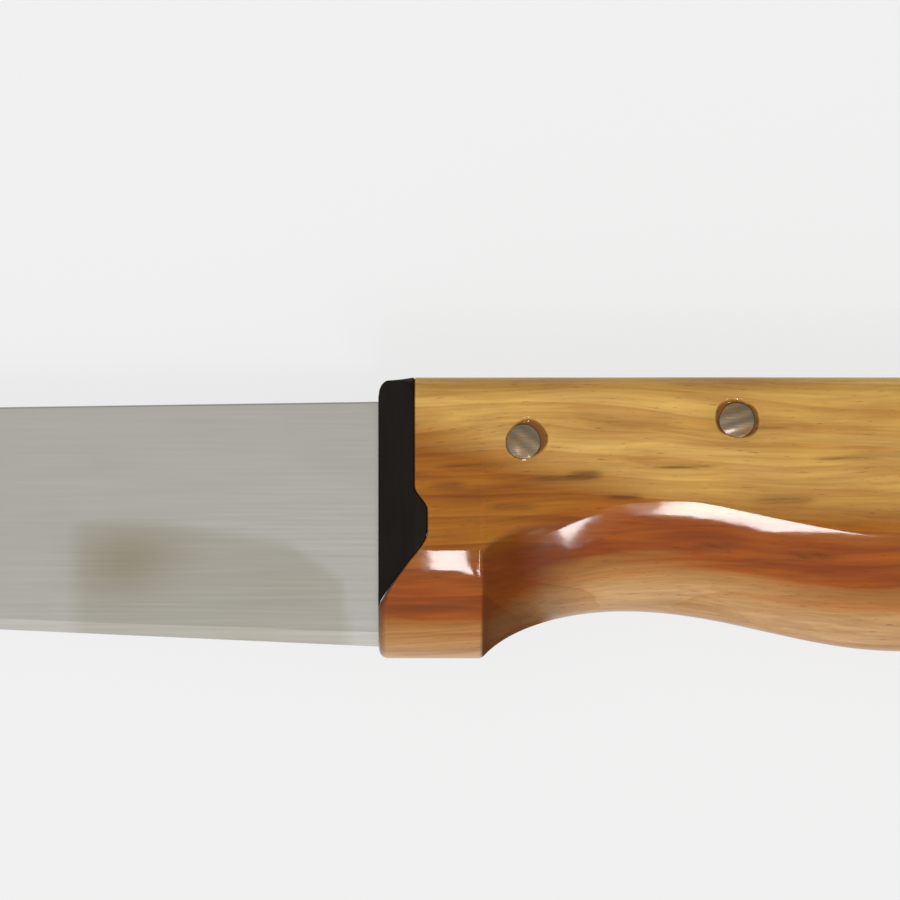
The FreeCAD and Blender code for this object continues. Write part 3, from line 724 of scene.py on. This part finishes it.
# ---------------------------------------------------------------------------------------------
# Kerf filler. Sawdust and glue pressed into the saw kerf over the tang, sanded, sunk a little
# as it dried, and varnished over.
# ---------------------------------------------------------------------------------------------

filler_low, filler_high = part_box("kerf_filler")
filler_x = steps(((filler_low.x - heel_x) / MM, (filler_high.x - heel_x) / MM, 0.4))[:, None]
FILLER_HALF = (filler_high.z - filler_low.z) / MM / 2
FILLER_SUNK = 0.1
FILLER_SAG = 0.05
FILLER_FLOOR, FILLER_FLOOR_RISE = -3.3, 2.5     # it rests along the tang's top
around = np.linspace(0, np.pi, 13)[None, :]
# A slim bar: a square-sided box from a clipped sine, whose top sags in the middle.
filler_z = FILLER_HALF * np.sign(np.sin(around)) * np.minimum(1, np.sin(around) * 2.2)
filler_floor = FILLER_FLOOR + FILLER_FLOOR_RISE * np.minimum(1, filler_x / TANG_TOP_RUN)
filler_top = -FILLER_SUNK - FILLER_SAG * (1 - np.abs(filler_z) / FILLER_HALF)
filler_y = np.where(np.cos(around) > 0, filler_top, filler_floor - 0.05)
filler_half = np.stack([filler_x + 0 * filler_y, filler_y, filler_z + 0 * filler_y], axis=-1)
filler_points = mirrored(filler_half)
rows, columns = filler_points.shape[:2]
filler = add_piece("sanded_filler", filler_points, np.concatenate([
    ring_faces(rows, columns), ladder_faces(0, columns), ladder_faces((rows - 1) * columns, columns),
]))


def varnished_sawdust():
    """Sawdust bound with glue: dark brown, mottled at half a millimetre, under the handle's varnish."""
    material = bpy.data.materials.new("varnished_sawdust")
    material.use_nodes = True
    tree = material.node_tree
    shader = tree.nodes["Principled BSDF"]
    shader.inputs["Specular IOR Level"].default_value = 0.2
    shader.inputs["Coat Weight"].default_value = 0.3
    shader.inputs["Coat Roughness"].default_value = 0.35
    place = add(tree, "ShaderNodeTexCoord", {}).outputs["Object"]
    specks = add(tree, "ShaderNodeTexNoise", {
        "Vector": place, "Scale": 1800, "Detail": 5, "Roughness": 0.7}).outputs[0]
    mottle = add(tree, "ShaderNodeMapRange", {0: specks, 1: 0.35, 2: 0.68}).outputs[0]
    colour = add(tree, "ShaderNodeMix", {0: mottle, 6: linear("#4c2a12"), 7: linear("#8f5a2c")},
                 data_type="RGBA")
    tree.links.new(colour.outputs[2], shader.inputs["Base Color"])
    rough = add(tree, "ShaderNodeMapRange", {0: specks, 1: 0.3, 2: 0.7, 3: 0.5, 4: 0.75}).outputs[0]
    tree.links.new(rough, shader.inputs["Roughness"])
    bump = add(tree, "ShaderNodeBump", {"Height": specks, "Strength": 0.5, "Distance": 0.0001}).outputs[0]
    tree.links.new(bump, shader.inputs["Normal"])
    return material


filler.data.materials.append(varnished_sawdust())
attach(filler, "root")
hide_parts("kerf_filler")

# ---------------------------------------------------------------------------------------------
# Pins. Two aluminium rods through wood and tang, peened with a hammer at both ends so that
# they spread in their holes, then sanded with the wood. Varnish lies over them.
# ---------------------------------------------------------------------------------------------

PIN_RADIUS = 1.6
HEAD_TOP = (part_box("front_pin")[1].z - middle_z) / MM
HEAD_HEIGHT = 0.5
HEAD_CROWN = 0.14
RIM_RADIUS = 0.12
ROD_MIDDLE = 0.4            # the profile's last row above the rod's middle, which its mirror image meets


def peened_pin(name, centre_x, centre_y, twist):
    """A turned profile round the rod's axis: crowned head, upset rim, rod, and the same at the far side.

    The rim wanders by up to 4 % and the crown has shallow hammer facets, as sines of angle and radius."""
    out = np.linspace(0, 1, 14)
    crown = np.stack([out * (HEAD_RADIUS - RIM_RADIUS), HEAD_TOP - HEAD_CROWN * out ** 2 * 0.7], axis=-1)
    bend = np.linspace(0, np.pi / 2, 6)[1:]
    rim = np.stack([
        HEAD_RADIUS - RIM_RADIUS + RIM_RADIUS * np.sin(bend), crown[-1, 1] - RIM_RADIUS * (1 - np.cos(bend)),
    ], axis=-1)
    under_head = HEAD_TOP - HEAD_HEIGHT
    neck = np.array([[HEAD_RADIUS, under_head], [PIN_RADIUS, under_head], [PIN_RADIUS, ROD_MIDDLE]])
    top = np.concatenate([crown, rim, neck])
    profile = np.concatenate([top, top[::-1] * [1, -1]])
    angle = np.linspace(0, 2 * np.pi, 64, endpoint=False)[None, :]
    radius, height = profile[:, :1], profile[:, 1:]
    head = np.abs(height) > under_head - 0.01
    beat = 1 + np.sin(3 * angle + twist) * np.sin(2 * angle)
    wander = 1 - 0.02 * head * beat * (radius / HEAD_RADIUS) ** 2
    blows = np.sin(radius * 3.1 * np.cos(angle - twist) + 1) * np.cos(radius * 2.3 * np.sin(angle))
    facets = 0.035 * (1 + blows)
    lowered = height - np.sign(height) * facets * (np.abs(height) > HEAD_TOP - HEAD_CROWN - 0.2)
    reach = radius * wander
    points = np.stack([
        centre_x + reach * np.cos(angle), centre_y + reach * np.sin(angle), lowered + 0 * angle,
    ], axis=-1)
    points[[0, -1]] = points[[0, -1]].mean(axis=1, keepdims=True)
    rows, columns = points.shape[:2]
    return add_piece(name, points, ring_faces(rows, columns))


def peened_aluminium():
    """Aluminium rod end, hammered and sanded: grey, scratched one way, and yellowed by its varnish."""
    material = bpy.data.materials.new("peened_aluminium")
    material.use_nodes = True
    tree = material.node_tree
    shader = tree.nodes["Principled BSDF"]
    shader.inputs["Metallic"].default_value = 0.85
    shader.inputs["Coat Weight"].default_value = 0.6
    shader.inputs["Coat Roughness"].default_value = 0.15
    place = add(tree, "ShaderNodeTexCoord", {}).outputs["Object"]
    # Sanding scratches, drawn 0.15 mm apart so that they show.
    sanded = add(tree, "ShaderNodeMapping", {
        "Vector": place, "Scale": (700, 5200, 900), "Rotation": (0, 0, 0.6)}).outputs[0]
    scratches = add(tree, "ShaderNodeTexNoise", {"Vector": sanded, "Scale": 1, "Detail": 4}).outputs[0]
    spots = add(tree, "ShaderNodeTexNoise", {"Vector": place, "Scale": 750, "Detail": 3}).outputs[0]
    grime = add(tree, "ShaderNodeMapRange", {0: spots, 1: 0.42, 2: 0.66, 3: 0.1, 4: 0.85}).outputs[0]
    # Dark metal, then each layer over it: bright scratches, brown grime.
    metal = linear("#5e5343")
    for share, colour in ((scratches, "#7e735e"), (grime, "#7f5e37")):
        mixed = add(tree, "ShaderNodeMix", {0: share, 6: metal, 7: linear(colour)}, data_type="RGBA")
        metal = mixed.outputs[2]
    tree.links.new(metal, shader.inputs["Base Color"])
    rough = add(tree, "ShaderNodeMapRange", {0: scratches, 1: 0.3, 2: 0.7, 3: 0.35, 4: 0.6}).outputs[0]
    tree.links.new(rough, shader.inputs["Roughness"])
    bump = add(tree, "ShaderNodeBump", {"Height": scratches, "Strength": 0.4, "Distance": 0.00005})
    tree.links.new(bump.outputs[0], shader.inputs["Normal"])
    return material


pin_metal = peened_aluminium()
for name, (pin_x, pin_y), twist in zip(("front_pin", "rear_pin"), PIN_PLACES, (0.4, 2.1)):
    pin = peened_pin(name.replace("pin", "peened_pin"), pin_x, pin_y, twist)
    pin.data.materials.append(pin_metal)
    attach(pin, "root")
    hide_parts(name)

# ---------------------------------------------------------------------------------------------
# Table, light and camera. The knife lies on its side on a pale table in a soft, bright room.
# Two small lamps, high up beyond its edge side, make the varnish shine.
# ---------------------------------------------------------------------------------------------

floor_mesh = bpy.data.meshes.new("table")
floor_mesh.from_pydata([(-3, -3, 0), (3, -3, 0), (3, 3, 0), (-3, 3, 0)], [], [(0, 1, 2, 3)])
floor = bpy.data.objects.new("table", floor_mesh)
bpy.context.scene.collection.objects.link(floor)
floor_material = bpy.data.materials.new("pale_table")
floor_material.use_nodes = True
floor_tree = floor_material.node_tree
floor_shader = floor_tree.nodes["Principled BSDF"]
floor_shader.inputs["Base Color"].default_value = linear("#eeeeee")
floor_shader.inputs["Roughness"].default_value = 0.9
floor_shader.inputs["Specular IOR Level"].default_value = 0.1


def seen_directly(tree):
    """1 where the camera, gloss or glass looks at a surface, and 0 where light from it falls on others."""
    path = add(tree, "ShaderNodeLightPath", {})
    seen = path.outputs["Is Camera Ray"]
    for ray in ("Is Glossy Ray", "Is Transmission Ray"):
        seen = add(tree, "ShaderNodeMath", {0: seen, 1: path.outputs[ray]}, operation="MAXIMUM").outputs[0]
    return seen


PAPER_SHARE = 0.87          # the rest of the table's look is its own shading, which keeps the shadow
paper = add(floor_tree, "ShaderNodeEmission", {"Color": linear("#f2f2f2"), "Strength": 1}).outputs[0]
paper_share = add(floor_tree, "ShaderNodeMath", {0: seen_directly(floor_tree), 1: PAPER_SHARE},
                  operation="MULTIPLY").outputs[0]
blend = add(floor_tree, "ShaderNodeMixShader", {0: paper_share, 1: floor_shader.outputs[0], 2: paper})
floor_tree.links.new(blend.outputs[0], floor_tree.nodes["Material Output"].inputs["Surface"])
floor_mesh.materials.append(floor_material)

world = bpy.data.worlds.new("soft_room")
bpy.context.scene.world = world
world.use_nodes = True
sky = world.node_tree
sky.nodes.clear()
# The room is brighter overhead than at the horizon, and brighter towards -x and -y than towards +x and +y.
direction = add(sky, "ShaderNodeTexCoord", {}).outputs["Generated"]
up = add(sky, "ShaderNodeSeparateXYZ", {0: direction}).outputs[2]
overhead = add(sky, "ShaderNodeMapRange", {0: up, 1: 0.0, 2: 0.8, 3: 0.45, 4: 0.72}).outputs[0]
sideways = add(sky, "ShaderNodeVectorMath", {0: direction, 1: (-0.5, -0.42, 0)},
               operation="DOT_PRODUCT").outputs[1]
brightness = add(sky, "ShaderNodeMath", {0: sideways, 1: overhead, 2: overhead},
                 operation="MULTIPLY_ADD").outputs[0]
# The camera, gloss and glass see the table's pale paper sweep up from the horizon and fade away.
SWEEP_BRIGHTNESS = 0.86
sweep = add(sky, "ShaderNodeMapRange", {0: up, 1: 0.0, 2: 0.4, 3: seen_directly(sky), 4: 0.0},
            interpolation_type="SMOOTHSTEP").outputs[0]
strength = add(sky, "ShaderNodeMix", {0: sweep, 2: brightness, 3: SWEEP_BRIGHTNESS}).outputs[0]
glow = add(sky, "ShaderNodeBackground", {"Color": (1, 1, 1, 1), "Strength": strength})
add(sky, "ShaderNodeOutputWorld", {"Surface": glow.outputs[0]})


LAMP_AIM = mathutils.Vector((0.0, -0.003, 0.018))
LAMP_RADIANCE = 38


def lamp(name, place, size):
    """A rectangle of light aimed at the guard. Its power gives every point of it the same radiance."""
    data = bpy.data.lights.new(name, "AREA")
    data.shape = "RECTANGLE"
    data.size, data.size_y = size
    data.energy = LAMP_RADIANCE * math.pi * size[0] * size[1]
    made = bpy.data.objects.new(name, data)
    bpy.context.scene.collection.objects.link(made)
    made.location = place
    aim = LAMP_AIM - made.location
    made.rotation_euler = aim.to_track_quat("-Z", "Y").to_euler()


lamp("near_lamp", (0.020, -0.263, 0.77), (0.063, 0.148))
lamp("far_lamp", (0.180, -0.372, 0.77), (0.046, 0.193))

camera_data = bpy.data.cameras.new("camera")
camera_data.lens = 300
camera_data.sensor_width = 36
camera = bpy.data.objects.new("camera", camera_data)
bpy.context.scene.collection.objects.link(camera)
VIEW_WIDTH = 0.09
VIEW_CENTRE = (heel_x + 0.0072, spine_y - 0.0073)
distance = VIEW_WIDTH * camera_data.lens / camera_data.sensor_width
camera.location = (*VIEW_CENTRE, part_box("handle")[1].z + distance)
bpy.context.scene.camera = camera
bpy.context.scene.view_settings.view_transform = "Standard"
